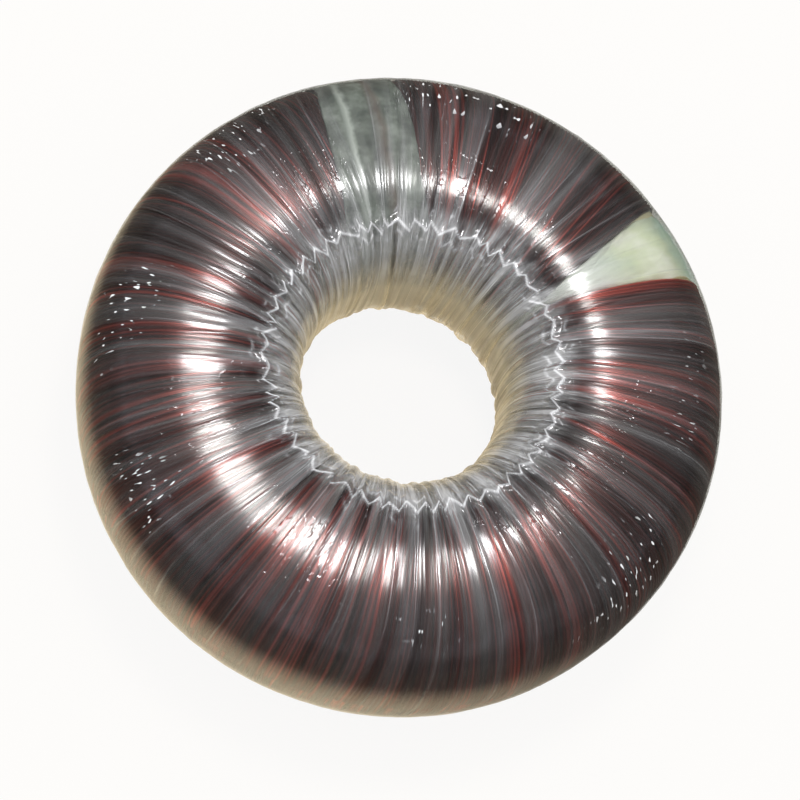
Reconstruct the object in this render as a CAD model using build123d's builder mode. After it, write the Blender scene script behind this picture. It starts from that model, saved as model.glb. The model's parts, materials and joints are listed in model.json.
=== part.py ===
"""Toroidal transformer: a strip-wound steel ring core in an insulating jacket, a primary and a secondary
winding of enamelled wire laid round it, and two passes of clear polyester film tape over everything.

The axis of the ring is Z. The origin is on that axis, in the plane that the transformer rests on.
Every layer is a ring with a rounded section. Each one is worked out from the layer outside it, by the
wall it has on the outer side, in the bore and at the two ends. Wire and tape bunch up in the bore, so
their walls are about three times as thick there. Dimensions are in millimetres.
"""

from build123d import *
from dataclasses import dataclass
import os

# Overall size, over the last pass of film
outer_diameter = 120.0
bore_diameter = 38.0
height = 47.0
film_corner = 15.5  # corner radius of the finished section

# Clearance between one layer and the next
layer_gap = 0.1

# Walls of the layers, from the outside in: outer side, bore, each end, and how much smaller the corner
# radius is inside the layer than outside it
second_film_walls = (0.3, 0.8, 0.4, 0.3)
first_film_walls = (0.3, 0.8, 0.4, 0.3)
secondary_walls = (1.7, 4.4, 2.4, 4.2)
primary_wrap_walls = (0.3, 0.9, 0.5, 0.3)
primary_walls = (2.2, 5.0, 3.0, 6.1)
core_wrap_walls = (0.2, 0.4, 0.3, 0.3)
jacket_walls = (1.0, 1.0, 1.5, 2.5)
least_corner = 0.8  # no corner is sharper than this
largest_corner_share = 0.49  # of a section's shorter side, so that a short straight always stays

# Jacket of the core: two channel-shaped caps, and a strip of board between their lips on either side
cap_lip = 9.0  # how far a cap's lips reach along the walls of the core, from its end

# Where the secondary starts and ends, a wedge-shaped window is left with no wire in it
window_angle = 55.5  # its middle, about Z from +X
window_outer_width = 17.5
window_throat_width = 1.8
window_throat_radius = 27.0  # inside this radius the window keeps its least width
pad_gap = 0.3  # between the pad in the window and the wire beside it

# Band of insulating sheet over the joint in the secondary, let into the wire that it presses down
patch_angle = 129.0
patch_width = 17.0
patch_thickness = 0.4


@dataclass
class Ring:
    """A ring about Z with a rounded rectangular section."""

    inner_radius: float
    outer_radius: float
    low: float
    high: float
    corner: float

    @property
    def width(self):
        return self.outer_radius - self.inner_radius

    @property
    def depth(self):
        return self.high - self.low

    @property
    def middle(self):
        return ((self.inner_radius + self.outer_radius) / 2, (self.low + self.high) / 2)


def shrunk(ring, outer_wall, bore_wall, end_wall, corner_loss):
    """The ring that is left inside a layer with these walls."""
    return Ring(
        ring.inner_radius + bore_wall,
        ring.outer_radius - outer_wall,
        ring.low + end_wall,
        ring.high - end_wall,
        max(ring.corner - corner_loss, least_corner),
    )


def inset(ring, distance):
    """The same ring, smaller all round by this distance."""
    return shrunk(ring, distance, distance, distance, distance)


def cleared(ring):
    """The ring that fits inside this one with the clearance between layers."""
    return inset(ring, layer_gap)


def add_ring(ring, mode=Mode.ADD):
    """Revolves the ring's section about Z in the part that is being built."""
    corner = min(ring.corner, largest_corner_share * min(ring.width, ring.depth))
    with BuildSketch(Plane.XZ) as section:
        with Locations(ring.middle):
            RectangleRounded(ring.width, ring.depth, corner)
    revolve(section.sketch, axis=Axis.Z, mode=mode)


def add_window(extra, mode):
    """A prism through the whole height in the window's plan shape, wider by extra on each side."""
    throat = window_throat_width / 2 + extra
    mouth = window_outer_width / 2 + extra
    with BuildSketch(Plane.XY.rotated((0, 0, window_angle))) as plan:
        with BuildLine():
            Polyline(
                (0, -throat),
                (window_throat_radius, -throat),
                (outer_diameter / 2, -mouth),
                (outer_diameter, -mouth),
                (outer_diameter, mouth),
                (outer_diameter / 2, mouth),
                (window_throat_radius, throat),
                (0, throat),
                close=True,
            )
        make_face()
    extrude(plan.sketch, amount=height, mode=mode)


def add_band(width, mode):
    """A slab through the whole height that holds the patch's stretch of the ring."""
    with BuildSketch(Plane.XY.rotated((0, 0, patch_angle))) as plan:
        with Locations((outer_diameter / 2, 0)):
            Rectangle(outer_diameter, width)
    extrude(plan.sketch, amount=height, mode=mode)


# The layers' outer surfaces, from the outside in
second_film_ring = Ring(bore_diameter / 2, outer_diameter / 2, 0.0, height, film_corner)
second_film_hollow = shrunk(second_film_ring, *second_film_walls)
first_film_ring = cleared(second_film_hollow)
first_film_hollow = shrunk(first_film_ring, *first_film_walls)
secondary_ring = cleared(first_film_hollow)
secondary_hollow = shrunk(secondary_ring, *secondary_walls)
primary_wrap_ring = cleared(secondary_hollow)
primary_wrap_hollow = shrunk(primary_wrap_ring, *primary_wrap_walls)
primary_ring = cleared(primary_wrap_hollow)
primary_hollow = shrunk(primary_ring, *primary_walls)
core_wrap_ring = cleared(primary_hollow)
core_wrap_hollow = shrunk(core_wrap_ring, *core_wrap_walls)
jacket_ring = cleared(core_wrap_hollow)
jacket_hollow = shrunk(jacket_ring, *jacket_walls)
core_ring = cleared(jacket_hollow)

# The patch takes the secondary's outermost stretch, and the wire under it is lower by its thickness
patch_hollow = inset(secondary_ring, patch_thickness)
patch_seat = cleared(patch_hollow)


# Core: one steel strip wound into a ring, its turns welded at the end
with BuildPart() as steel_core:
    add_ring(core_ring)

# Caps: each covers one end of the core and reaches along both its walls
with BuildPart() as core_cap_bottom:
    add_ring(jacket_ring)
    add_ring(jacket_hollow, mode=Mode.SUBTRACT)
    split(bisect_by=Plane.XY.offset(core_ring.low + cap_lip), keep=Keep.BOTTOM)

with BuildPart() as core_cap_top:
    add_ring(jacket_ring)
    add_ring(jacket_hollow, mode=Mode.SUBTRACT)
    split(bisect_by=Plane.XY.offset(core_ring.high - cap_lip), keep=Keep.TOP)

# Liners: strips of board round the core between the caps' lips, one outside and one in the bore
liner_low = core_ring.low + cap_lip + layer_gap
liner_height = core_ring.depth - 2 * (cap_lip + layer_gap)

with BuildPart() as outer_liner:
    with BuildSketch(Plane.XY.offset(liner_low)):
        Circle(jacket_ring.outer_radius)
        Circle(jacket_hollow.outer_radius, mode=Mode.SUBTRACT)
    extrude(amount=liner_height)

with BuildPart() as inner_liner:
    with BuildSketch(Plane.XY.offset(liner_low)):
        Circle(jacket_hollow.inner_radius)
        Circle(jacket_ring.inner_radius, mode=Mode.SUBTRACT)
    extrude(amount=liner_height)

# Film over the jacket, which holds the caps and liners on the core
with BuildPart() as core_wrap:
    add_ring(core_wrap_ring)
    add_ring(core_wrap_hollow, mode=Mode.SUBTRACT)

# Primary: one wire, wound all the way round in several layers
with BuildPart() as primary_winding:
    add_ring(primary_ring)
    add_ring(primary_hollow, mode=Mode.SUBTRACT)

# Film between the two windings
with BuildPart() as primary_wrap:
    add_ring(primary_wrap_ring)
    add_ring(primary_wrap_hollow, mode=Mode.SUBTRACT)

# Secondary: one wire, wound round from one side of the window to the other
with BuildPart() as secondary_winding:
    add_ring(secondary_ring)
    add_ring(secondary_hollow, mode=Mode.SUBTRACT)
    add_window(0.0, mode=Mode.SUBTRACT)
    with BuildPart(mode=Mode.PRIVATE) as seat:
        add_ring(secondary_ring)
        add_ring(patch_seat, mode=Mode.SUBTRACT)
        add_band(patch_width + 2 * layer_gap, mode=Mode.INTERSECT)
    add(seat.part, mode=Mode.SUBTRACT)

# Pad: folded film that fills the window, so that the tape over it is carried
with BuildPart() as window_pad:
    add_ring(secondary_ring)
    add_ring(secondary_hollow, mode=Mode.SUBTRACT)
    add_window(-pad_gap, mode=Mode.INTERSECT)

# Patch: a band of sheet once round the section, over the joint in the secondary
with BuildPart() as joint_patch:
    add_ring(secondary_ring)
    add_ring(patch_hollow, mode=Mode.SUBTRACT)
    add_band(patch_width, mode=Mode.INTERSECT)

# The two passes of film tape over the finished windings
with BuildPart() as first_film_wrap:
    add_ring(first_film_ring)
    add_ring(first_film_hollow, mode=Mode.SUBTRACT)

with BuildPart() as second_film_wrap:
    add_ring(second_film_ring)
    add_ring(second_film_hollow, mode=Mode.SUBTRACT)


pieces = {
    "steel_core": steel_core,
    "core_cap_bottom": core_cap_bottom,
    "core_cap_top": core_cap_top,
    "outer_liner": outer_liner,
    "inner_liner": inner_liner,
    "core_wrap": core_wrap,
    "primary_winding": primary_winding,
    "primary_wrap": primary_wrap,
    "secondary_winding": secondary_winding,
    "window_pad": window_pad,
    "joint_patch": joint_patch,
    "first_film_wrap": first_film_wrap,
    "second_film_wrap": second_film_wrap,
}

os.makedirs("parts", exist_ok=True)
for name, piece in pieces.items():
    piece.part.label = name
    export_step(piece.part, f"parts/{name}.step")
    print(f"{name}: {len(piece.part.solids())} solid, {piece.part.volume:.1f} mm3")
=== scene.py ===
"""Looks of the toroidal transformer: turns of enamelled wire under two passes of clear film tape.

Every surface here is a function of two parameters on a grid: the angle round the ring's axis, and the
place round the ring's section, which is a superellipse. That place is called a station. It is a share
of the section's length: 0 is the middle of the outer side, and it grows over the top, down the bore and
back under the bottom. Lengths are in metres.
"""

import json

import bpy
import numpy as np
from mathutils import Matrix, Vector


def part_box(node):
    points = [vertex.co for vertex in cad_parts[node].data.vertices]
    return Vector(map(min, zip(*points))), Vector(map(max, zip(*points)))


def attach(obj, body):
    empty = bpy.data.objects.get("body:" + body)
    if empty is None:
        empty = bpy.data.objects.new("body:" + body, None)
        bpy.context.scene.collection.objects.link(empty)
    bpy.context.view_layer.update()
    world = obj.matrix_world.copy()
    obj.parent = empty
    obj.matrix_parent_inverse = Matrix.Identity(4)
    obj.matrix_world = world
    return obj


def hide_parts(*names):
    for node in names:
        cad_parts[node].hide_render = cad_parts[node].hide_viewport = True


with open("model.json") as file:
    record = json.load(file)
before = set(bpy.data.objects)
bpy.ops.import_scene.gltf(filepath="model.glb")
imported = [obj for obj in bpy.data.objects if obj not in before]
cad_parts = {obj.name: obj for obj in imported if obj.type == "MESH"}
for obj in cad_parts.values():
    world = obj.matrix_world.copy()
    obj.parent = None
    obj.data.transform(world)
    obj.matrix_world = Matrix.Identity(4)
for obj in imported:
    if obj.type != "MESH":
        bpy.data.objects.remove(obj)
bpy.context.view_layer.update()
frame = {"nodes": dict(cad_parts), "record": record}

MM = 0.001
TAU = 2 * np.pi

# The ring's section, from the frame
outer_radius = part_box("second_film_wrap")[1][0]
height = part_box("second_film_wrap")[1][2]
bore_radius = next(m for m in frame["record"]["mounts"] if m["name"] == "centre_hole")["dims"]["r_mm"] * MM

# Where the secondary has no wire, as angles round the axis from +X
window_angle = np.radians(55.5)
patch_angle = np.radians(129.0)

OUTLINE_POWER = 2.6  # 2 is an ellipse, and a higher power has squarer shoulders
OUTLINE_STEPS = 40000


# ---------------------------------------------------------------- geometry helpers


def ring_outline():
    """The finished ring's outline as a table: share of its length, radius, height and normal's angle.

    It is a superellipse: |x / half width| and |y / half height|, each to the power OUTLINE_POWER, add up
    to one. The normal's angle is 0 outwards, a quarter turn upwards and half a turn in the bore. The last
    value is the outline's whole length.
    """
    t = np.linspace(0, TAU, OUTLINE_STEPS + 1)
    half_width = (outer_radius - bore_radius) / 2
    half_height = height / 2
    c, s = np.cos(t), np.sin(t)
    x = half_width * np.sign(c) * np.abs(c) ** (2 / OUTLINE_POWER)
    y = half_height * np.sign(s) * np.abs(s) ** (2 / OUTLINE_POWER)
    power = 2 - 2 / OUTLINE_POWER
    normal_x = np.sign(c) * np.abs(c) ** power / half_width
    normal_y = np.sign(s) * np.abs(s) ** power / half_height
    length = np.concatenate([[0], np.cumsum(np.hypot(np.diff(x), np.diff(y)))])
    turn = np.unwrap(np.arctan2(normal_y, normal_x))
    return length / length[-1], bore_radius + half_width + x, half_height + y, turn, length[-1]


OUTLINE = ring_outline()


def zigzag_noise(rng, positions, count, soft=False):
    """Random values from -1 to 1 at count even places round a loop, joined by straight lines.

    A position is a share of the loop, from 0 to 1, and the noise repeats after it. Where it is soft, a
    cosine joins the values instead.
    """
    cells = np.mod(positions, 1.0) * count
    values = rng.uniform(-1, 1, count)
    low = np.floor(cells).astype(int)
    share = cells - low
    if soft:
        share = (1 - np.cos(np.pi * share)) / 2
    return values[low % count] * (1 - share) + values[(low + 1) % count] * share


def smooth_noise(rng, positions, count):
    """Noise round a loop with a cosine from each value to the next."""
    return zigzag_noise(rng, positions, count, soft=True)


def smooth_field(rng, u, v, count_u, count_v):
    """Smooth noise in two directions, each a loop of even places."""
    cells_u = np.mod(u, 1.0) * count_u
    cells_v = np.mod(v, 1.0) * count_v
    values = rng.uniform(-1, 1, (count_u, count_v))
    i = np.floor(cells_u).astype(int)
    j = np.floor(cells_v).astype(int)
    a = (1 - np.cos(np.pi * (cells_u - i))) / 2
    b = (1 - np.cos(np.pi * (cells_v - j))) / 2
    i, j, i2, j2 = i % count_u, j % count_v, (i + 1) % count_u, (j + 1) % count_v
    near = values[i, j] * (1 - a) + values[i2, j] * a
    far = values[i, j2] * (1 - a) + values[i2, j2] * a
    return near * (1 - b) + far * b


def bell(x, centre, width):
    """A bell curve of height 1 about centre."""
    return np.exp(-(((x - centre) / width) ** 2))


def step(x, low, high):
    """Rises smoothly from 0 at low to 1 at high."""
    t = np.clip((x - low) / (high - low), 0, 1)
    return t * t * (3 - 2 * t)


def angle_apart(a, b):
    """The angle from b to a, between minus half a turn and half a turn."""
    return np.mod(a - b + np.pi, TAU) - np.pi


def grid_faces(rows, columns, rows_close, wrap_shift=0, offset=0, flip=False):
    """Quads of a grid whose columns close on themselves, shifted by some rows where they close.

    The rows may close too. offset is the number of the grid's first point, and flip turns the quads over.
    Returns the quads and the UV of their corners: the shares of the rows and of the columns.
    """
    index = np.arange(rows * columns).reshape(rows, columns) + offset
    i, j = np.meshgrid(np.arange(rows if rows_close else rows - 1), np.arange(columns), indexing="ij")
    i_next = (i + 1) % rows
    over = np.where(j == columns - 1, wrap_shift, 0)
    j_next = (j + 1) % columns
    quads = np.stack([index[i, j], index[i_next, j], index[(i_next + over) % rows, j_next],
                      index[(i + over) % rows, j_next]], -1).reshape(-1, 4)
    u = np.stack([i, i + 1, i + 1 + over, i + over], -1) / rows
    v = np.stack([j, j, j + 1, j + 1], -1) / columns
    uv = np.stack([u, v], -1).reshape(-1, 4, 2)
    if flip:
        quads, uv = quads[:, ::-1], uv[:, ::-1]
    return quads, uv


def mesh_object(name, points, quads, uv, painted_highlight=None):
    """An object at the origin from arrays of points, quads and the UV of each quad's corners.

    The last argument says for each point, from 0 to 1, how strong the painted highlight is there: a pale
    line along a sharp fold that stands in for its glint.
    """
    mesh = bpy.data.meshes.new(name)
    mesh.from_pydata(points.reshape(-1, 3).tolist(), [], quads.tolist())
    if painted_highlight is not None:
        marks = mesh.attributes.new("painted_highlight", "FLOAT", "POINT")
        marks.data.foreach_set("value", painted_highlight.astype(np.float32).reshape(-1))
    layer = mesh.uv_layers.new(name="UVMap")
    layer.data.foreach_set("uv", uv.astype(np.float32).reshape(-1))
    mesh.shade_smooth()
    mesh.update()
    piece = bpy.data.objects.new(name, mesh)
    bpy.context.scene.collection.objects.link(piece)
    return piece


def closed_ring(name, points, wrap_shift=0, painted_highlight=None):
    """A ring-shaped surface, closed both ways, from points on a grid (rows, columns, 3)."""
    quads, uv = grid_faces(points.shape[0], points.shape[1], rows_close=True, wrap_shift=wrap_shift)
    return mesh_object(name, points, quads, uv, painted_highlight)


def ring_segment(name, outside, inside):
    """A stretch of a hollow ring: an outer and an inner grid, and a wall across each end.

    Both grids have the same columns. The inner one may have fewer rows.
    """
    rows, columns = outside.shape[:2]
    inner_rows = inside.shape[0]
    outer_quads, outer_uv = grid_faces(rows, columns, rows_close=False)
    first_inner = rows * columns
    inner_quads, inner_uv = grid_faces(inner_rows, columns, rows_close=False, offset=first_inner, flip=True)
    outer_index = np.arange(rows * columns).reshape(rows, columns)
    inner_index = np.arange(inner_rows * columns).reshape(inner_rows, columns) + first_inner
    walls = []
    wall_uv = []
    j = np.arange(columns)
    j_next = (j + 1) % columns
    for end, share in ((0, 0.0), (-1, 1.0)):
        a, b = outer_index[end], inner_index[end]
        wall = np.stack([a[j], a[j_next], b[j_next], b[j]], -1)
        uv = np.stack([np.full((columns, 4), share), np.stack([j, j + 1, j + 1, j], -1) / columns], -1)
        if end == -1:
            wall, uv = wall[:, ::-1], uv[:, ::-1]
        walls.append(wall)
        wall_uv.append(uv)
    points = np.concatenate([outside.reshape(-1, 3), inside.reshape(-1, 3)])
    quads = np.concatenate([outer_quads, inner_quads] + walls)
    return mesh_object(name, points, quads, np.concatenate([outer_uv, inner_uv] + wall_uv))


def ring_points(azimuth, r, z):
    """Points at radius r and height z, turned round the axis by azimuth. All are arrays of one shape."""
    return np.stack([r * np.cos(azimuth), r * np.sin(azimuth), z + 0 * azimuth], -1)


class Layer:
    """A surface inside the finished ring, at a depth of its own at the outer side, bore and ends.

    Between them the depth is the side's times the cosine squared of the normal's angle, plus the ends'
    times its sine squared.
    """

    def __init__(self, outer_depth, bore_depth, end_depth):
        self.depths = (outer_depth, bore_depth, end_depth)

    def outline(self, stations):
        """Radius, height and the direction of the normal at each station."""
        share, r, z, turn, _ = OUTLINE
        s = np.mod(stations, 1.0)
        r, z, turn = np.interp(s, share, r), np.interp(s, share, z), np.interp(s, share, turn)
        outer_depth, bore_depth, end_depth = self.depths
        side_depth = np.where(np.cos(turn) > 0, outer_depth, bore_depth)
        depth = side_depth * np.cos(turn) ** 2 + end_depth * np.sin(turn) ** 2
        return r - depth * np.cos(turn), z - depth * np.sin(turn), turn

    def surface(self, azimuth, stations, proud):
        """Points at these azimuths and stations, proud of the outline along its normal."""
        r, z, turn = self.outline(stations)
        r = r[None, :] + proud * np.cos(turn)[None, :]
        z = z[None, :] + proud * np.sin(turn)[None, :]
        return ring_points(azimuth, r, z)


secondary_layer = Layer(outer_depth=0.31 * MM, bore_depth=1.9 * MM, end_depth=1.05 * MM)
secondary_inside = Layer(outer_depth=2.45 * MM, bore_depth=6.15 * MM, end_depth=3.35 * MM)
first_film_layer = Layer(outer_depth=0.16 * MM, bore_depth=0.9 * MM, end_depth=0.52 * MM)
second_film_layer = Layer(outer_depth=0.0, bore_depth=0.0, end_depth=0.0)


# ---------------------------------------------------------------- windings

WIRE_TURNS = 432
PRIMARY_TURNS = 900
ROWS_PER_TURN = 4
SECTION_COLUMNS = 48
WIRE_RELIEF = 0.20 * MM
BORE_LAYERS = 3  # turns that share one place in the bore, lying in layers there
WIDENED_PLACES = [0, 2.5, 2.75, BORE_LAYERS]  # where a group's turns begin in the bore, in turns
SINK_IN_BORE = 0.35 * MM
HIGH_OR_LOW = 0.05 * MM
SWELL = 0.10 * MM
SHORT_LEAN = np.radians(0.55)
LONG_LEAN = np.radians(0.9)
INNER_ROWS = 217
PATCH_PRESS = 0.45 * MM  # how deep the patch presses the wire, and how far it reaches
PATCH_PRESS_REACH = 9.0 * MM

# The winding runs from one side of the window round to the other. Both sides run nearly straight across
# the ring, so their azimuth depends on the radius.
window_outer_half = 8.75 * MM
window_throat_half = 0.9 * MM
window_throat_radius = 27 * MM


def window_half_angle(r):
    """Half the angle that the window takes at radius r: its half width there over the radius."""
    share = np.clip((r - window_throat_radius) / (outer_radius - window_throat_radius), 0, None)
    half = window_throat_half + (window_outer_half - window_throat_half) * share
    return np.arcsin(half / r)


def secondary_winding():
    """The secondary's turns: ridges across the ring, each a half circle in section.

    The rows follow the turns. Rows are spread evenly from one side of the window to the other, then
    pushed along the ring by a slow noise, so that the turns lean and bunch. Towards the bore every third
    turn widens over its two neighbours, which sink under it. A turn also sits a little high or low.
    """
    rng = np.random.default_rng(11)
    rows = WIRE_TURNS * ROWS_PER_TURN + 1
    stations = (np.arange(SECTION_COLUMNS) + 0.5) / SECTION_COLUMNS
    r, _, turn = secondary_layer.outline(stations)
    place = np.arange(rows) / ROWS_PER_TURN  # in turns
    turn_index = np.minimum(np.floor(place).astype(int), WIRE_TURNS - 1)
    across = place - turn_index
    into_bore = step(-np.cos(turn), -0.15, 0.75)[None, :]

    # Within each group of three the first turn widens in the bore
    in_group = np.mod(place, BORE_LAYERS)
    widened = np.interp(in_group, [0, 1, 2, BORE_LAYERS], WIDENED_PLACES)
    spread_place = place[:, None] + (widened - in_group)[:, None] * into_bore
    share = spread_place / WIRE_TURNS

    along = stations[None, :] + 0 * share
    lean = smooth_field(rng, share, along, 61, 7) * SHORT_LEAN
    lean += smooth_field(rng, share, along, 23, 5) * LONG_LEAN
    ends = np.minimum(share, 1 - share)
    lean *= step(ends, 0.0, 0.02)

    half = window_half_angle(r)[None, :]
    azimuth = window_angle + half + share * (TAU - 2 * half) + lean

    ridge = np.sqrt(np.clip(1 - (2 * across - 1) ** 2, 0, 1))[:, None] - 0.7
    high_or_low = rng.uniform(-1, 1, WIRE_TURNS)[turn_index][:, None]
    sunk = (turn_index % BORE_LAYERS != 0)[:, None] * into_bore
    proud = WIRE_RELIEF * ridge * (1 - 0.5 * sunk) + HIGH_OR_LOW * high_or_low * (1 - into_bore)
    proud -= SINK_IN_BORE * sunk
    swell = smooth_field(rng, share, along, 40, 4)
    proud += SWELL * (swell - 1)

    # Under the patch the wire is pressed down
    under = bell(np.abs(angle_apart(azimuth, patch_angle)) * r[None, :], 0, PATCH_PRESS_REACH)
    proud -= PATCH_PRESS * step(under, 0.30, 0.50)
    outside = secondary_layer.surface(azimuth, stations, proud)
    inner_rows = np.linspace(0, rows - 1, INNER_ROWS).astype(int)
    inside = secondary_inside.surface(azimuth[inner_rows], stations, 0)
    return ring_segment("secondary_turns", outside, inside)


# ---------------------------------------------------------------- film


FIRST_PASS_LAPS = 52
SECOND_PASS_LAPS = 56
LAP_FRACTIONS = np.array([0, 0.03, 0.08, 0.16, 0.24, 0.32, 0.4, 0.48, 0.56, 0.64, 0.72, 0.8, 0.89, 0.97])
LAP_SWAY = np.radians(0.6)
LAP_LEAN = np.radians(2.3)
SLANTING_CREASES = 2
SLANTING_CREASE_WIDTH_MM = 0.42
MIDDLE_RADIUS_MM = 45  # of the ring, in millimetres, to turn a share of a lap into its width

# The crease that the film gathers in at the upper inner shoulder, and a fold at the lower one. Both are
# placed by the angle of the outline's normal.
CREASE_TURN = np.radians(124)
CREASE_ZIGZAG = np.radians(7.5)
CREASE_DRIFT = np.radians(1.5)
CREASE_SKEW = np.radians(6)  # how much further into the bore it lies on one side of the ring
CREASE_OUT_ANGLE = np.radians(70)  # where the crease lies furthest into the bore
CREASE_SLOPE = 0.62
CREASE_SLOPE_SKEW = 0.12
CREASE_FALL = 3.6 * MM
# Width of the painted highlight line along the crease
CREASE_HIGHLIGHT_WIDTH = 0.26 * MM
LOWER_FOLD_TURN = np.radians(229)
LOWER_FOLD_ZIGZAG = np.radians(4)
LOWER_FOLD_WIDTH = 1.2 * MM
SHOULDER_RADIUS = 15 * MM  # of the section's round shoulders, to turn an angle into a distance

# Smaller folds, by their distance from the crease: the second lies beyond it, and the third before it
SECOND_FOLD = 2.8 * MM
SECOND_FOLD_WANDER = 0.9 * MM
# Width of the painted highlight line along the second fold
SECOND_FOLD_HIGHLIGHT_WIDTH = 0.24 * MM
THIRD_FOLD = 2.2 * MM
THIRD_FOLD_WANDER = 0.8 * MM
# Width of the painted highlight line along the third fold
THIRD_FOLD_HIGHLIGHT_WIDTH = 0.3 * MM
BORE_FOLDS = 0.24 * MM

# Spacing of the film's columns, and the angle over which they lie closer at each inner shoulder
PLAIN_SPACING = 2.6 * MM
CLOSE_SPACING = 0.28 * MM
CLOSE_REACH = np.radians(19)
LOWER_CLOSE_REACH = np.radians(17)
LOWER_CLOSE_SHARE = 0.2


def film_stations():
    """Stations for the film's columns: evenly spaced, and closer together over the inner shoulders."""
    share, _, _, turn, length = OUTLINE
    close = bell(turn, CREASE_TURN, CLOSE_REACH)
    close = close + LOWER_CLOSE_SHARE * bell(turn, LOWER_FOLD_TURN, LOWER_CLOSE_REACH)
    density = (1 / PLAIN_SPACING + close / CLOSE_SPACING) * length
    total = np.concatenate([[0], np.cumsum((density[1:] + density[:-1]) / 2 * np.diff(share))])
    count = int(total[-1])
    return np.interp(np.linspace(0, total[-1], count + 1)[:-1], total, share)


def film_pass(name, layer, laps, seed, edge, pillow, streak, wave, crumple):
    """One pass of film tape as a closed ring.

    The rows follow the laps' edges, which advance by one lap as they go once round the section. Across
    a lap the film falls from its free edge to where the next lap covers it, bulges or sags between and
    leans to one side, all by its own amount. It carries shallow streaks along the turns, slanting
    creases, and slow waves along its length. At the inner shoulder the film is gathered: a crease with a
    sharp top zigzags from lap to lap, with smaller folds running down into the bore.

    The lengths are heights: edge is the step at a lap's edge, pillow its bulge between two edges, streak
    and wave the relief of those two, and crumple the height of the crease.
    """
    rng = np.random.default_rng(seed)
    stations = film_stations()
    _, _, turn = layer.outline(stations)
    across = np.tile(LAP_FRACTIONS, laps)[:, None]
    lap = np.repeat(np.arange(laps), len(LAP_FRACTIONS))
    along = stations[None, :] + 0 * across

    def each_lap(low, high):
        """One value for each lap, on its rows."""
        return rng.uniform(low, high, laps)[lap][:, None]

    # An edge reaches the next one's start after one turn round the section
    starts = np.cumsum(rng.uniform(0.65, 1.35, laps + 1))
    starts = (starts - starts[0]) / (starts[-1] - starts[0])
    widths = np.diff(starts)
    lap_width = widths[lap][:, None]
    next_width = np.roll(widths, -1)[lap][:, None]
    width_here = lap_width + (next_width - lap_width) * along
    share = starts[:-1][lap][:, None] + lap_width * along + width_here * across
    sway = smooth_field(rng, lap[:, None] / laps + across / laps + 0 * along, along, laps, 6)
    neighbours = (lap[:, None] + across) / laps + 0 * along
    lean = smooth_field(rng, neighbours, along, 26, 5)
    azimuth = TAU * share + LAP_SWAY * sway + LAP_LEAN * lean

    in_bore = step(-np.cos(turn), 0.1, 0.9)[None, :]
    proud = -edge * (1 + across)
    bulge = each_lap(-0.6, 1.0) + 0.5 * np.cos(TAU * (along * 2 - each_lap(0, 1)))
    leaning = each_lap(-1, 1) + 0.6 * np.cos(TAU * (along * 3 - each_lap(0, 1)))
    proud = proud + pillow * (bulge * np.sin(np.pi * across) + 0.55 * leaning * np.sin(TAU * across) - 0.9)
    streaks = smooth_field(rng, share, along, laps * 5, 9)
    streaks = streaks + 0.7 * smooth_field(rng, share, along, laps * 3, 7)
    proud = proud + streak * streaks * step(across, 0.03, 0.16) * (1 - step(across, 0.89, 0.97))
    waves = smooth_field(rng, (lap / laps)[:, None] + 0 * along, along, laps, 20)
    ripple = smooth_field(rng, share, along, laps * 2, 34)
    proud = proud + wave * waves + 0.5 * wave * ripple
    tight = step(np.cos(turn), 0.35, 0.85)[None, :]
    proud = proud * (1 - 0.35 * in_bore - 0.80 * tight)

    # Slanting creases over the top, from the outer shoulder towards the inner one
    lap_mm = width_here * TAU * MIDDLE_RADIUS_MM
    for _ in range(SLANTING_CREASES):
        begin, finish = each_lap(0.08, 0.26), each_lap(0.28, 0.42)
        reach = np.clip((along - begin) / (finish - begin), 0, 1)
        line = each_lap(0.1, 0.9) + (each_lap(0.1, 0.9) - 0.5) * 1.4 * (reach - 0.5)
        strength = each_lap(-0.4, 1.3)
        fade = step(reach, 0.0, 0.15) * (1 - step(reach, 0.85, 1.0))
        across_mm = (across - line) * lap_mm
        proud = proud + 0.9 * edge * strength * fade * bell(across_mm, 0, SLANTING_CREASE_WIDTH_MM)

    # Crease at the inner shoulder. Its line zigzags, and its outer flank is the steep one.
    peak = each_lap(0.15, 0.85)
    zig = np.minimum(across / peak, (1 - across) / (1 - peak)) * each_lap(0.5, 1.4) - 0.5
    slow = smooth_noise(rng, share, 9)
    leeward = np.cos(azimuth - CREASE_OUT_ANGLE)
    line = CREASE_TURN + CREASE_ZIGZAG * zig + CREASE_DRIFT * slow + CREASE_SKEW * leeward
    corner_away = (turn[None, :] - line) * SHOULDER_RADIUS
    flank = crumple / (CREASE_SLOPE - CREASE_SLOPE_SKEW * leeward)
    steep = crumple * np.clip(1 + corner_away / flank, 0, 1) * (1 - step(corner_away, 0.0, CREASE_FALL))
    second_line = corner_away - SECOND_FOLD - SECOND_FOLD_WANDER * smooth_noise(rng, share, laps * 3)
    small = 0.5 * crumple * step(second_line, -0.6 * MM, 0.0) * (1 - step(second_line, 0.0, 1.5 * MM))
    under_line = (turn[None, :] - LOWER_FOLD_TURN - LOWER_FOLD_ZIGZAG * zig) * SHOULDER_RADIUS
    below = crumple * 0.6 * bell(under_line, 0, LOWER_FOLD_WIDTH)
    proud = proud + steep + small * (0.5 + 0.5 * smooth_noise(rng, share, 31)) + below
    folds = 2 * np.abs(smooth_noise(rng, share, laps * 2)) - 0.6
    proud = proud + BORE_FOLDS * folds * step(corner_away, -1.0 * MM, 3.0 * MM) * in_bore

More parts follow.
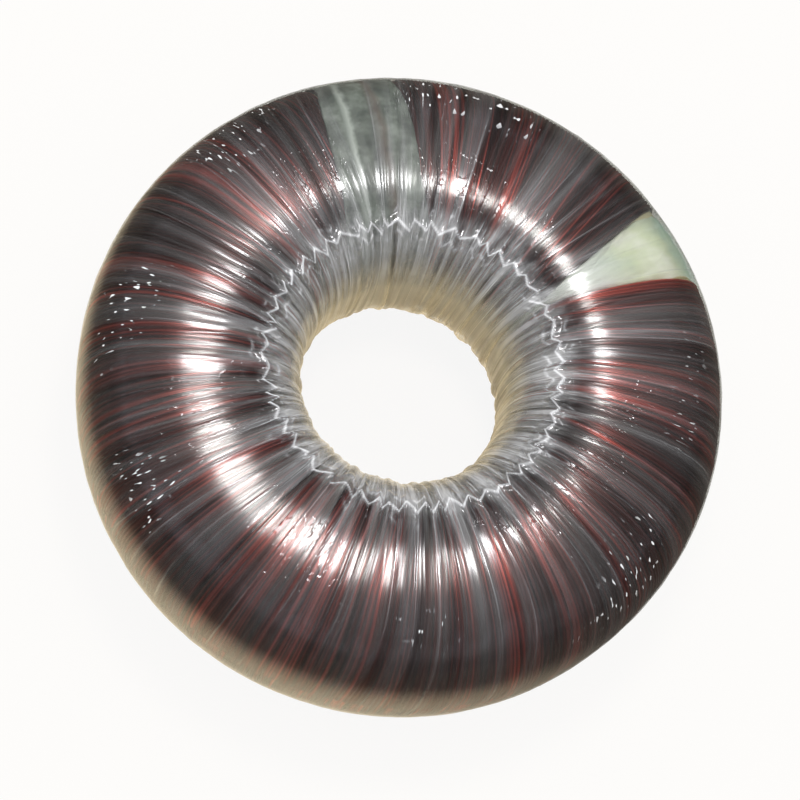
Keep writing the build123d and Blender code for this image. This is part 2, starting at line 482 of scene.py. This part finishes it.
    # Painted highlight: a pale line along the crease and its folds, standing in for their glint
    uneven = 0.86 + 0.14 * smooth_noise(rng, share, laps * 3)
    painted_highlight = uneven * bell(corner_away - 0.1 * MM, 0, CREASE_HIGHLIGHT_WIDTH)
    partly = step(smooth_noise(rng, share, laps * 2), -0.2, 0.5)
    painted_highlight = np.maximum(painted_highlight, 0.42 * partly * bell(second_line + 0.3 * MM, 0, SECOND_FOLD_HIGHLIGHT_WIDTH))
    third_line = corner_away + THIRD_FOLD + THIRD_FOLD_WANDER * smooth_noise(rng, share, laps * 2)
    partly = step(smooth_noise(rng, share, laps * 3), 0.35, 0.75)
    painted_highlight = np.maximum(painted_highlight, 0.5 * partly * bell(third_line, 0, THIRD_FOLD_HIGHLIGHT_WIDTH))

    # Away from the inner shoulders the film stays within the finished size
    outer_part = np.cos(turn)[None, :] > -0.25
    proud = np.where(outer_part, np.minimum(proud, -0.01 * MM), proud)
    points = layer.surface(azimuth, stations, proud)
    return closed_ring(name, points, wrap_shift=len(LAP_FRACTIONS), painted_highlight=painted_highlight)


# ---------------------------------------------------------------- pads in the window and over the joint


def window_pad():
    """Folded film in the window: its sides follow the window's, and its top is crumpled.

    The top is lowered by two noises, one slanting and one across the window, and falls at both sides with
    the sixth power of the distance from the middle.
    """
    rng = np.random.default_rng(5)
    rows = 60
    columns = 180
    stations = (np.arange(columns) + 0.5) / columns
    r, _, _ = secondary_layer.outline(stations)
    across = np.linspace(-1, 1, rows)[:, None]
    half = window_half_angle(r)[None, :]
    gap = 0.25 * MM
    reach = (1 - gap / (half * r[None, :])) * half
    azimuth = window_angle + across * reach
    share = (across + 1) / 2 + 0 * stations[None, :]
    along = stations[None, :] + 0 * share
    slant = along * 3 + share * 0.6
    folds = np.abs(smooth_field(rng, slant / 3, share * 0.9, 42, 3))
    sunk, slanting_fold, cross_fold, side_fall = 0.20 * MM, 0.30 * MM, 0.10 * MM, 0.6 * MM
    proud = -sunk - slanting_fold * (1 - folds)
    proud -= cross_fold * np.abs(smooth_field(rng, along, share * 0.9, 70, 9))
    proud = proud - side_fall * (np.abs(across) ** 6)
    outside = secondary_layer.surface(azimuth, stations, proud)
    inside = secondary_inside.surface(azimuth[::6], stations, 0)
    return ring_segment("folded_window_pad", outside, inside)


def joint_patch():
    """A band of sheet once round the section, with ragged parallel sides, soft wrinkles and a fold.

    Its azimuth is the arc sine of the distance from its middle over the radius. Its height is a smooth
    noise and a bell along the fold's line.
    """
    rng = np.random.default_rng(8)
    rows = 50
    columns = 150
    stations = (np.arange(columns) + 0.5) / columns
    r, _, _ = secondary_layer.outline(stations)
    across = np.linspace(-1, 1, rows)[:, None]
    ragged = smooth_noise(rng, stations, 17)[None, :] * 0.5 * MM
    ragged = ragged + zigzag_noise(rng, stations, 60)[None, :] * 0.2 * MM
    half_width = 7.7 * MM + ragged
    azimuth = patch_angle + np.arcsin(across * half_width / r[None, :])
    share = (across + 1) / 2 + 0 * stations[None, :]
    along = stations[None, :] + 0 * share
    wrinkles = smooth_field(rng, share * 0.9, along, 8, 26)
    proud = -0.06 * MM + 0.05 * MM * wrinkles
    fold = across - 0.45 - 0.5 * smooth_noise(rng, stations, 9)[None, :] * 0.2
    proud = proud + 0.10 * MM * bell(fold, 0, 0.06)
    outside = secondary_layer.surface(azimuth, stations, proud)
    thickness = 0.35 * MM
    inside = secondary_layer.surface(azimuth[::5], stations, -thickness)
    return ring_segment("patch_over_joint", outside, inside)


# ---------------------------------------------------------------- materials


class Nodes:
    """Short hand for adding and linking nodes in a material's tree or a group's."""

    def __init__(self, tree):
        self.tree = tree

    def add(self, kind, values=None, **settings):
        """A new node. A value is put on its socket, or linked to it where it is another node's output."""
        node = self.tree.nodes.new(kind)
        for key, value in settings.items():
            setattr(node, key, value)
        for key, value in (values or {}).items():
            if isinstance(value, bpy.types.NodeSocket):
                self.tree.links.new(value, node.inputs[key])
            else:
                node.inputs[key].default_value = value
        return node

    def math(self, operation, a, b=0.0, c=0.0, clamp=False):
        """One sum on numbers or outputs."""
        values = {0: a, 1: b, 2: c}
        return self.add("ShaderNodeMath", values, operation=operation, use_clamp=clamp).outputs[0]

    def noise(self, vector, scale, detail=2.0, rough=0.5):
        """Cloudy noise about 0.5, at these places."""
        values = {"Vector": vector, "Scale": scale, "Detail": detail, "Roughness": rough}
        return self.add("ShaderNodeTexNoise", values).outputs["Fac"]

    def ramp(self, value, stops):
        """Colours at places from 0 to 1. A number stands for a grey."""
        node = self.add("ShaderNodeValToRGB", {"Fac": value})
        elements = node.color_ramp.elements
        for k, (place, colour) in enumerate(stops):
            element = elements[k] if k < 2 else elements.new(place)
            element.position = place
            if isinstance(colour, (int, float)):
                colour = (colour, colour, colour)
            element.color = (*colour, 1)
        return node.outputs["Color"]

    def mix(self, share, a, b):
        """Colour a where share is 0, and colour b where it is 1."""
        node = self.add("ShaderNodeMix", data_type="RGBA")
        for socket, value in ((node.inputs[0], share), (node.inputs[6], a), (node.inputs[7], b)):
            if isinstance(value, bpy.types.NodeSocket):
                self.tree.links.new(value, socket)
            else:
                socket.default_value = (*value, 1) if isinstance(value, tuple) else value
        return node.outputs[2]

    def stretched(self, u_count, v_count):
        """The piece's own UV, scaled so that a pattern repeats this often round and across the ring."""
        uv = self.add("ShaderNodeTexCoord").outputs["UV"]
        return self.add("ShaderNodeMapping", {"Vector": uv, "Scale": (u_count, v_count, 1)}).outputs[0]

    def pattern(self, u_count, v_count, detail=2.0, rough=0.5):
        """Noise on the piece's own UV, with this many cells round and across the ring."""
        return self.noise(self.stretched(u_count, v_count), 1.0, detail, rough)

    def place(self):
        """Where a point is on the object, in metres."""
        return self.add("ShaderNodeTexCoord").outputs["Object"]

    def length(self, vector):
        """How long a vector is."""
        return self.add("ShaderNodeVectorMath", {0: vector}, operation="LENGTH").outputs["Value"]

    def distance_from_axis(self, place):
        """How far a point is from the ring's axis."""
        flat = self.add("ShaderNodeVectorMath", {0: place, 1: (1, 1, 0)}, operation="MULTIPLY")
        return self.length(flat.outputs[0])

    def bump(self, height, strength, distance, normal=None):
        """The normal of a relief: distance is how far it rises where height is 1."""
        values = {"Height": height, "Strength": strength, "Distance": distance}
        if normal is not None:
            values["Normal"] = normal
        return self.add("ShaderNodeBump", values).outputs["Normal"]


def new_material(name):
    """An empty material with a Principled shader on its output."""
    material = bpy.data.materials.new(name)
    material.use_nodes = True
    nodes = Nodes(material.node_tree)
    shader = material.node_tree.nodes["Principled BSDF"]
    return material, nodes, shader


def link(nodes, output, socket):
    """Joins an output to a socket."""
    nodes.tree.links.new(output, socket)


def show_mix(material, nodes, share, first, second):
    """Puts two shaders on the material's output. Share is how much there is of the second."""
    blend = nodes.add("ShaderNodeMixShader", {0: share})
    link(nodes, first.outputs[0], blend.inputs[1])
    link(nodes, second.outputs[0], blend.inputs[2])
    link(nodes, blend.outputs[0], material.node_tree.nodes["Material Output"].inputs["Surface"])


def streak_group():
    """Fine streaks along the turns, where film lies over wire, as a height.

    The height is two stretched noises, one as fine as a turn and one as wide as three.
    """
    group = bpy.data.node_groups.new("turns_showing_through", "ShaderNodeTree")
    for name, direction in (("Fine", "INPUT"), ("Coarse", "INPUT"), ("Height", "OUTPUT")):
        group.interface.new_socket(name=name, in_out=direction, socket_type="NodeSocketFloat")
    nodes = Nodes(group)
    inputs = nodes.add("NodeGroupInput").outputs
    outputs = nodes.add("NodeGroupOutput").inputs
    fine = nodes.math("MULTIPLY", nodes.pattern(430, 9), inputs["Fine"])
    coarse = nodes.math("MULTIPLY", nodes.pattern(150, 7), inputs["Coarse"])
    link(nodes, nodes.math("ADD", fine, coarse), outputs["Height"])
    return group


STREAKS = streak_group()

# Where each look of the film is, as stops over the columns of its mesh: 0 and 1 are the middle of the
# outer side, 0.15 the crest, 0.34 to 0.5 the crease and its folds, and 0.585 the middle of the bore
ON_GATHERED_FILM = [(0.27, 0.0), (0.34, 0.6), (0.44, 1.0), (0.56, 1.0), (0.66, 0.6), (0.74, 0.0)]
AWAY_FROM_OUTER_SIDE = [(0.05, 0.25), (0.19, 1.0), (0.81, 1.0), (0.95, 0.25)]
DEEP_IN_BORE = [(0.58, 0.0), (0.63, 1.0), (0.70, 1.0), (0.76, 0.0)]
LOW_OUTSIDE = [(0.0, 0.45), (0.060, 0.0), (0.84, 0.0), (0.93, 0.9), (1.0, 0.45)]
ON_OUTER_SHOULDER = [(0.055, 0.0), (0.070, 1.0), (0.105, 1.0), (0.125, 0.0)]
ON_LAP_EDGE = [(0.0, 0.0), (0.02, 1.0), (0.07, 1.0), (0.11, 0.0)]

# The share that mirrors, and the milky share of it. The laps lie thicker towards the bore.
GATHERED_MIRROR = 0.26
LOOSE_MIRROR = 0.9  # times the share at normal view
DEEP_MIRROR = 0.24
LOW_MIRROR = 0.16
HAIR_MIRROR = 0.10
EDGE_MIRROR = 0.42
# How much of the clear film the painted highlights cover
PAINTED_HIGHLIGHT_SHARE = 0.95
CLINGING_SHARE = 0.30  # of the mirror, left where the film clings to the wire
PLAIN_HAZE = 0.05
GATHERED_HAZE = 0.42
LOOSE_HAZE = 0.52
DEEP_HAZE = 0.45
LOW_HAZE = 0.20
HAIR_HAZE = 0.30
# Cream deep in the bore: the tint of thick film, and a painted reflection of the cream floor
CREAM_TINT_AND_PAINTED_REFLECTION = (0.97, 0.88, 0.64)
CLEAR_FILM = (0.97, 0.975, 0.955, 1)
STREAK_DEPTH = 0.4 * MM
CRINKLE_DEPTH = 0.10 * MM


def film_material(name, at_normal, tint, laps, marked):
    """Clear film in several laps: mostly see-through, and a stronger mirror towards grazing angles.

    The share that mirrors is a constant plus the Fresnel share of one surface, and grows towards the
    bore, where the laps gather. It is small in long streaks where the film clings to the wire, and what
    it mirrors is milkier where it stands off. Deep in the bore the film is cream: the tint of thick film,
    and a painted reflection of the cream floor. The relief is streaks along the turns. A marked pass has
    small sharp crinkles in patches too, and scatters light at cut edges and scratches. It also carries
    painted highlights: pale specks on the outer shoulder that stand in for glints, and pale lines along
    the crease and its folds that stand in for their glint.
    """
    material, nodes, shader = new_material(name)
    streaks = nodes.add("ShaderNodeGroup", {"Fine": 0.08, "Coarse": 0.15}, node_tree=STREAKS)
    normal = nodes.bump(streaks.outputs["Height"], 1.0, STREAK_DEPTH)
    parts = nodes.add("ShaderNodeSeparateXYZ", {0: nodes.stretched(laps, 1)}).outputs
    round_section = parts["Y"]
    pleats = nodes.ramp(nodes.pattern(laps * 3, 3, 3.0, 0.6), [(0.36, 0.35), (0.62, 1.0)])
    gathered = nodes.math("MULTIPLY", nodes.ramp(round_section, ON_GATHERED_FILM), pleats)
    away_from_side = nodes.ramp(round_section, AWAY_FROM_OUTER_SIDE)
    loose = nodes.ramp(nodes.pattern(laps * 1.6, 1.7, 3.0, 0.55), [(0.40, 0.0), (0.60, 1.0)])
    loose = nodes.math("MULTIPLY", loose, away_from_side)
    deep = nodes.ramp(round_section, DEEP_IN_BORE)
    low = nodes.ramp(round_section, LOW_OUTSIDE)

    # Milky rather than mirroring: where laps gather, where film stands off, and low on both walls
    milky, least = PLAIN_HAZE, at_normal
    for mask, haze, mirror in (
        (gathered, GATHERED_HAZE, GATHERED_MIRROR),
        (loose, LOOSE_HAZE, LOOSE_MIRROR * at_normal),
        (deep, DEEP_HAZE, DEEP_MIRROR),
        (low, LOW_HAZE, LOW_MIRROR),
    ):
        milky = nodes.math("MULTIPLY_ADD", mask, haze, milky)
        least = nodes.math("MULTIPLY_ADD", mask, mirror, least)
    if marked:
        creases = nodes.ramp(nodes.pattern(150, 40, 2.0, 0.55), [(0.46, 0.0), (0.5, 1.0), (0.54, 0.0)])
        patches = nodes.ramp(nodes.pattern(9, 8, 1.0), [(0.50, 0.0), (0.62, 1.0)])
        normal = nodes.bump(nodes.math("MULTIPLY", creases, patches), 1.0, CRINKLE_DEPTH, normal)
        # Painted glints: pale specks in clusters on the outer shoulder, standing in for the glints of
        # crinkled film there
        painted_glints = nodes.ramp(nodes.pattern(560, 130, 0.0), [(0.70, 0.0), (0.76, 1.0)])
        clustered = nodes.ramp(nodes.pattern(13, 7, 0.0), [(0.53, 0.0), (0.60, 0.95)])
        shoulder = nodes.ramp(round_section, ON_OUTER_SHOULDER)
        painted_glints = nodes.math("MULTIPLY", nodes.math("MULTIPLY", painted_glints, clustered), shoulder)
        # Painted highlight lines along the crease and folds, carried on the mesh, joined by the painted
        # glints
        painted_highlight = nodes.add("ShaderNodeAttribute", attribute_name="painted_highlight").outputs["Fac"]
        painted_highlight = nodes.math("MAXIMUM", painted_highlight, painted_glints)
        hairs = nodes.ramp(nodes.pattern(760, 5, 1.0), [(0.58, 0.0), (0.66, 1.0)])
        hairs = nodes.math("MULTIPLY", hairs, away_from_side)
        milky = nodes.math("MULTIPLY_ADD", hairs, HAIR_HAZE, milky)
        milky = nodes.math("MAXIMUM", milky, painted_highlight)
        edge_line = nodes.ramp(nodes.math("FRACT", parts["X"]), ON_LAP_EDGE)
        faint = nodes.ramp(nodes.pattern(laps, 9), [(0.38, 0.0), (0.58, EDGE_MIRROR)])
        least = nodes.math("MULTIPLY_ADD", hairs, HAIR_MIRROR, least)
        least = nodes.math("MULTIPLY_ADD", edge_line, faint, least)
    link(nodes, normal, shader.inputs["Normal"])
    link(nodes, nodes.math("SUBTRACT", 1.0, milky, clamp=True), shader.inputs["Metallic"])
    # Deep in the bore the colour is cream, partly a painted reflection of the cream floor
    link(nodes, nodes.mix(deep, tint, CREAM_TINT_AND_PAINTED_REFLECTION), shader.inputs["Base Color"])
    shader.inputs["Roughness"].default_value = 0.205

    fresnel = nodes.add("ShaderNodeFresnel", {"IOR": 1.62}).outputs[0]
    share = nodes.math("MULTIPLY_ADD", fresnel, nodes.math("SUBTRACT", 1.0, least), least)
    kept = nodes.math("MULTIPLY_ADD", loose, 0.70, CLINGING_SHARE)
    kept = nodes.math("MAXIMUM", kept, gathered)
    kept = nodes.math("MAXIMUM", kept, nodes.math("MAXIMUM", deep, low))
    share = nodes.math("MULTIPLY", share, kept, clamp=True)
    if marked:
        # The painted highlights cover the clear film
        share = nodes.math("MULTIPLY_ADD", painted_highlight, PAINTED_HIGHLIGHT_SHARE, share, clamp=True)
    clear = nodes.add("ShaderNodeBsdfTransparent", {"Color": CLEAR_FILM})
    show_mix(material, nodes, share, clear, shader)
    return material


ENAMEL_COLOURS = [(0.43, (0.070, 0.030, 0.028)), (0.53, (0.20, 0.050, 0.044)), (0.63, (0.70, 0.13, 0.105))]
BARE_RED = (0.52, 0.15, 0.12)
BARE_RADIUS = 0.0565  # where the enamel is thin beside the window: from the axis, round it, and up
BARE_ANGLE = np.radians(41.5)
BARE_HEIGHT = 0.027
BARE_REACH = 14 * MM


def enamel_material(name, per_turn):
    """Dark red enamel on copper: each turn a little different, and bare salmon red beside the window."""
    material, nodes, shader = new_material(name)
    turn_noise = nodes.pattern(per_turn, 0.7, 1.0)
    bunches = nodes.pattern(per_turn / 7, 1.6, 2.0)
    lit = nodes.math("ADD", nodes.math("MULTIPLY", turn_noise, 0.5), nodes.math("MULTIPLY", bunches, 0.5))
    colour = nodes.ramp(lit, ENAMEL_COLOURS)
    place = nodes.place()
    spot = (BARE_RADIUS * np.cos(BARE_ANGLE), BARE_RADIUS * np.sin(BARE_ANGLE), BARE_HEIGHT)
    away = nodes.add("ShaderNodeVectorMath", {0: place, 1: spot}, operation="DISTANCE").outputs["Value"]
    bare = nodes.ramp(nodes.math("DIVIDE", away, BARE_REACH), [(0.35, 1.0), (0.75, 0.0)])
    colour = nodes.mix(nodes.math("MULTIPLY", bare, 0.8), colour, BARE_RED)
    link(nodes, colour, shader.inputs["Base Color"])
    link(nodes, nodes.math("MULTIPLY_ADD", turn_noise, 0.24, 0.20), shader.inputs["Roughness"])
    shader.inputs["Metallic"].default_value = 0.86
    return material


def pad_material():
    """Folded clear film seen in depth: milky, pale green with cream patches, teal towards the rim, and near
    white towards the inner end, a painted highlight.
    """
    material, nodes, shader = new_material("folded_clear_film")
    place = nodes.place()
    cloud = nodes.noise(place, 95, 3.0, 0.55)
    colour = nodes.ramp(cloud, [(0.34, (0.60, 0.69, 0.58)), (0.50, (0.76, 0.81, 0.62)),
                                (0.64, (0.93, 0.94, 0.86))])
    radius = nodes.distance_from_axis(place)
    rim = nodes.ramp(nodes.math("DIVIDE", radius, outer_radius), [(0.88, 0.0), (0.99, 1.0)])
    colour = nodes.mix(nodes.math("MULTIPLY", rim, 0.75), colour, (0.20, 0.50, 0.50))
    # Painted highlight: near white over the inner part of the pad, standing in for the lamp's glare there
    inner = nodes.ramp(nodes.math("DIVIDE", radius, outer_radius), [(0.62, 1.0), (0.74, 0.0)])
    colour = nodes.mix(nodes.math("MULTIPLY", inner, 0.8), colour, (0.90, 0.94, 0.93))
    link(nodes, colour, shader.inputs["Base Color"])
    streaks = nodes.pattern(3, 90, 3.0, 0.6)
    link(nodes, nodes.bump(streaks, 0.5, 0.2 * MM), shader.inputs["Normal"])
    shader.inputs["Roughness"].default_value = 0.32
    return material


def patch_material():
    """Grey-green insulating sheet with a brown stain along its middle and a pale line at one side, a
    painted highlight along its fold.
    """
    material, nodes, shader = new_material("insulating_sheet")
    uv = nodes.add("ShaderNodeTexCoord").outputs["UV"]
    across = nodes.add("ShaderNodeSeparateXYZ", {0: uv}).outputs["X"]
    mottle = nodes.pattern(3, 26, 4.0, 0.6)
    colour = nodes.ramp(mottle, [(0.32, (0.09, 0.105, 0.098)), (0.50, (0.19, 0.215, 0.195)),
                                 (0.70, (0.38, 0.42, 0.39))])
    drift = nodes.math("ADD", across, nodes.math("MULTIPLY", mottle, 0.16))
    stain = nodes.ramp(drift, [(0.36, 0.0), (0.44, 1.0), (0.54, 0.0)])
    colour = nodes.mix(nodes.math("MULTIPLY", stain, 0.6), colour, (0.16, 0.085, 0.055))
    # Painted highlight: a pale line along the sheet's fold
    painted_fold_highlight = nodes.ramp(drift, [(0.74, 0.0), (0.80, 1.0), (0.86, 0.0)])
    colour = nodes.mix(nodes.math("MULTIPLY", painted_fold_highlight, 0.75), colour, (0.62, 0.66, 0.64))
    link(nodes, colour, shader.inputs["Base Color"])
    shader.inputs["Roughness"].default_value = 0.38
    return material


def board_material():
    """Fish-paper board: olive brown with short fibres."""
    material, nodes, shader = new_material("insulating_board")
    place = nodes.place()
    fibre = nodes.noise(place, 900, 4.0, 0.7)
    colour = nodes.ramp(fibre, [(0.3, (0.30, 0.25, 0.15)), (0.7, (0.46, 0.40, 0.27))])
    link(nodes, colour, shader.inputs["Base Color"])
    link(nodes, nodes.bump(fibre, 0.3, 0.1 * MM), shader.inputs["Normal"])
    shader.inputs["Roughness"].default_value = 0.7
    return material


def core_material():
    """Wound steel strip: fine rings about the axis on the ends, smooth on the walls."""
    material, nodes, shader = new_material("wound_core_steel")
    place = nodes.place()
    radius = nodes.distance_from_axis(place)
    strip = 0.27 * MM
    laps = nodes.math("PINGPONG", radius, strip / 2)
    colour = nodes.ramp(nodes.math("DIVIDE", laps, strip / 2), [(0.1, (0.16, 0.16, 0.17)),
                                                                (0.5, (0.46, 0.46, 0.48))])
    link(nodes, colour, shader.inputs["Base Color"])
    link(nodes, nodes.bump(laps, 0.6, 1.0), shader.inputs["Normal"])
    shader.inputs["Metallic"].default_value = 1.0
    shader.inputs["Roughness"].default_value = 0.42
    return material


def inner_film_material():
    """Film over the hidden layers: yellowish, with the laps as bands round the section."""
    material, nodes, shader = new_material("inner_wrap_film")
    place = nodes.place()
    parts = nodes.add("ShaderNodeSeparateXYZ", {0: place})
    angle = nodes.math("ARCTAN2", parts.outputs["Y"], parts.outputs["X"])
    laps_round_ring = 60
    laps = nodes.math("FRACT", nodes.math("MULTIPLY", angle, laps_round_ring / TAU))
    colour = nodes.ramp(laps, [(0.04, (0.42, 0.36, 0.20)), (0.10, (0.66, 0.60, 0.40))])
    link(nodes, colour, shader.inputs["Base Color"])
    link(nodes, nodes.bump(laps, 0.4, 0.1 * MM), shader.inputs["Normal"])
    shader.inputs["Roughness"].default_value = 0.25
    return material


def dress(piece, material):
    """Gives a new piece its material."""
    piece.data.materials.append(material)
    return piece


def dress_node(node, material):
    """Gives a CAD node its material in every slot."""
    carried = frame["nodes"][node]
    if not carried.material_slots:
        carried.data.materials.append(material)
    for place in carried.material_slots:
        place.material = material


# ---------------------------------------------------------------- the transformer

turns = dress(secondary_winding(), enamel_material("enamelled_copper_secondary", WIRE_TURNS))
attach(turns, "root")
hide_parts("secondary_winding")

pad = dress(window_pad(), pad_material())
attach(pad, "root")
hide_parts("window_pad")

patch = dress(joint_patch(), patch_material())
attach(patch, "root")
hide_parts("joint_patch")

first_film = dress(
    film_pass("first_film_tape", first_film_layer, laps=FIRST_PASS_LAPS, seed=21,
              edge=0.04 * MM, pillow=0.05 * MM, streak=0.015 * MM, wave=0.04 * MM, crumple=0.30 * MM),
    film_material("inner_pass_of_film", 0.06, (0.93, 0.95, 0.93), FIRST_PASS_LAPS, marked=False),
)
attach(first_film, "root")
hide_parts("first_film_wrap")

second_film = dress(
    film_pass("second_film_tape", second_film_layer, laps=SECOND_PASS_LAPS, seed=34,
              edge=0.18 * MM, pillow=0.28 * MM, streak=0.035 * MM, wave=0.09 * MM, crumple=0.70 * MM),
    film_material("outer_pass_of_film", 0.10, (0.95, 0.96, 0.965), SECOND_PASS_LAPS, marked=True),
)
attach(second_film, "root")
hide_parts("second_film_wrap")

board = board_material()
inner_film = inner_film_material()
for node in ("core_cap_bottom", "core_cap_top", "outer_liner", "inner_liner"):
    dress_node(node, board)
for node in ("core_wrap", "primary_wrap"):
    dress_node(node, inner_film)
dress_node("primary_winding", enamel_material("enamelled_copper_primary", PRIMARY_TURNS))
dress_node("steel_core", core_material())


# ---------------------------------------------------------------- stage, light and camera

ROOM_LIGHT = (0.92, 0.92, 0.94)
WHITE = (1.0, 1.0, 1.0)
CREAM_GLOW = (1.2, 1.0, 0.68)
DARK_GLOW = (0.035, 0.03, 0.03)
GLOW_REACH = 0.2  # the floor's bright and dark parts are placed as shares of this
GLOW_SHARE = 0.9
BRIGHT_SIDE = (-0.5, -0.87, 0.0)


def shown_to_eye_and_gloss(nodes):
    """Two masks: one of all rays that show a surface's own colour, and one of the camera's alone.

    The first is 1 for rays from the camera, from a mirror and through glass.
    """
    path = nodes.add("ShaderNodeLightPath").outputs
    seen = nodes.math("MAXIMUM", path["Is Camera Ray"], path["Is Glossy Ray"])
    return nodes.math("MAXIMUM", seen, path["Is Transmission Ray"]), path["Is Camera Ray"]


def floor():
    """A flat cream floor that looks white to the camera and keeps the shadow.

    What the film mirrors of it is cream near the ring on one side and in the hole, and dark elsewhere.
    """
    material, nodes, shader = new_material("floor")
    shader.inputs["Base Color"].default_value = (0.80, 0.70, 0.54, 1)
    shader.inputs["Roughness"].default_value = 0.9
    seen, by_camera = shown_to_eye_and_gloss(nodes)
    place = nodes.place()
    away = nodes.math("DIVIDE", nodes.length(place), GLOW_REACH)
    near = nodes.ramp(away, [(0.37, 1.0), (0.52, 0.0)])
    side = nodes.add("ShaderNodeVectorMath", {0: place, 1: BRIGHT_SIDE}, operation="DOT_PRODUCT")
    side = nodes.math("MULTIPLY_ADD", side.outputs["Value"], 5.0, 0.5)
    side = nodes.ramp(side, [(0.42, 0.0), (0.72, 1.0)])
    in_hole = nodes.ramp(away, [(0.12, 1.0), (0.24, 0.0)])
    lit = nodes.math("MAXIMUM", nodes.math("MULTIPLY", near, side), in_hole)
    own = nodes.mix(by_camera, nodes.mix(lit, DARK_GLOW, CREAM_GLOW), WHITE)
    glow = nodes.add("ShaderNodeEmission", {"Color": own, "Strength": 1.0})
    show_mix(material, nodes, nodes.math("MULTIPLY", seen, GLOW_SHARE), shader, glow)
    reach = 2.0
    mesh = bpy.data.meshes.new("floor")
    corners = [(-reach, -reach, 0), (reach, -reach, 0), (reach, reach, 0), (-reach, reach, 0)]
    mesh.from_pydata(corners, [], [(0, 1, 2, 3)])
    mesh.materials.append(material)
    plane = bpy.data.objects.new("floor", mesh)
    bpy.context.scene.collection.objects.link(plane)


def dark_surround():
    """Black cards round the set, out of the camera's sight, which darken what the film mirrors low down.

    They are one band: a circle at its lower height and the same circle at its upper one.
    """
    columns = 64
    angle = TAU * np.arange(columns) / columns
    distance = 0.62
    low, high = 0.02, 0.22
    points = np.concatenate([
        np.stack([distance * np.cos(angle), distance * np.sin(angle), level + 0 * angle], -1)
        for level in (low, high)
    ])
    here = np.arange(columns)
    beside = (here + 1) % columns
    quads = np.stack([here, beside, beside + columns, here + columns], -1)
    mesh = bpy.data.meshes.new("black_cards")
    mesh.from_pydata(points.tolist(), [], quads.tolist())
    material, _, shader = new_material("black_card")
    shader.inputs["Base Color"].default_value = (0.02, 0.02, 0.022, 1)
    shader.inputs["Roughness"].default_value = 0.9
    mesh.materials.append(material)
    cards = bpy.data.objects.new("black_cards", mesh)
    bpy.context.scene.collection.objects.link(cards)
    cards.visible_camera = False
    cards.visible_diffuse = False
    cards.visible_shadow = False
    cards.visible_transmission = False


def overhead_lamp():
    """A small soft lamp close over the ring, a little behind it."""
    data = bpy.data.lights.new("overhead_lamp", "AREA")
    data.shape = "DISK"
    data.size = 0.08
    data.energy = 0.43
    data.color = (1.0, 0.985, 1.0)
    lamp = bpy.data.objects.new("overhead_lamp", data)
    lamp.location = (-0.030, 0.045, height + 0.33)
    lamp.rotation_euler = (Vector((0, 0, height)) - lamp.location).to_track_quat("-Z", "Y").to_euler()
    lamp.visible_camera = False
    bpy.context.scene.collection.objects.link(lamp)


def surroundings():
    """The room: even light, white to the camera, and patches of light and dark in what the film mirrors."""
    world = bpy.data.worlds.new("room")
    world.use_nodes = True
    bpy.context.scene.world = world
    nodes = Nodes(world.node_tree)
    seen, by_camera = shown_to_eye_and_gloss(nodes)
    direction = nodes.add("ShaderNodeTexCoord").outputs["Generated"]
    patches = nodes.noise(direction, 2.6, 2.0, 0.6)
    mirrored = nodes.ramp(patches, [(0.36, (0.030, 0.024, 0.026)), (0.50, (0.090, 0.082, 0.090)),
                                    (0.66, (0.32, 0.32, 0.37))])
    back = world.node_tree.nodes["Background"]
    tone = nodes.mix(by_camera, mirrored, WHITE)
    link(nodes, nodes.mix(seen, ROOM_LIGHT, tone), back.inputs["Color"])
    back.inputs["Strength"].default_value = 1.0


def camera():
    """The camera looks down steeply at the ring, and is rolled about its own axis."""
    elevation = np.radians(70.4)
    roll = np.radians(-28.5)
    distance = 7.425 * outer_radius
    target = np.array([0, 0, height / 2])
    back = np.array([0, -np.cos(elevation), np.sin(elevation)])
    level = np.array([1.0, 0, 0])
    upward = np.cross(back, level)
    right = np.cos(roll) * level - np.sin(roll) * upward
    up = np.sin(roll) * level + np.cos(roll) * upward
    data = bpy.data.cameras.new("camera")
    data.sensor_width = 36
    data.lens = 107.6
    data.shift_y = -0.009
    data.clip_start = 0.01
    eye = bpy.data.objects.new("camera", data)
    matrix = np.eye(4)
    matrix[:3, 0], matrix[:3, 1], matrix[:3, 2] = right, up, back
    matrix[:3, 3] = target + back * distance
    eye.matrix_world = Matrix(matrix.tolist())
    bpy.context.scene.collection.objects.link(eye)
    bpy.context.scene.camera = eye


floor()
dark_surround()
overhead_lamp()
surroundings()
camera()
bpy.context.scene.view_settings.view_transform = "Standard"

bpy.context.view_layer.update()
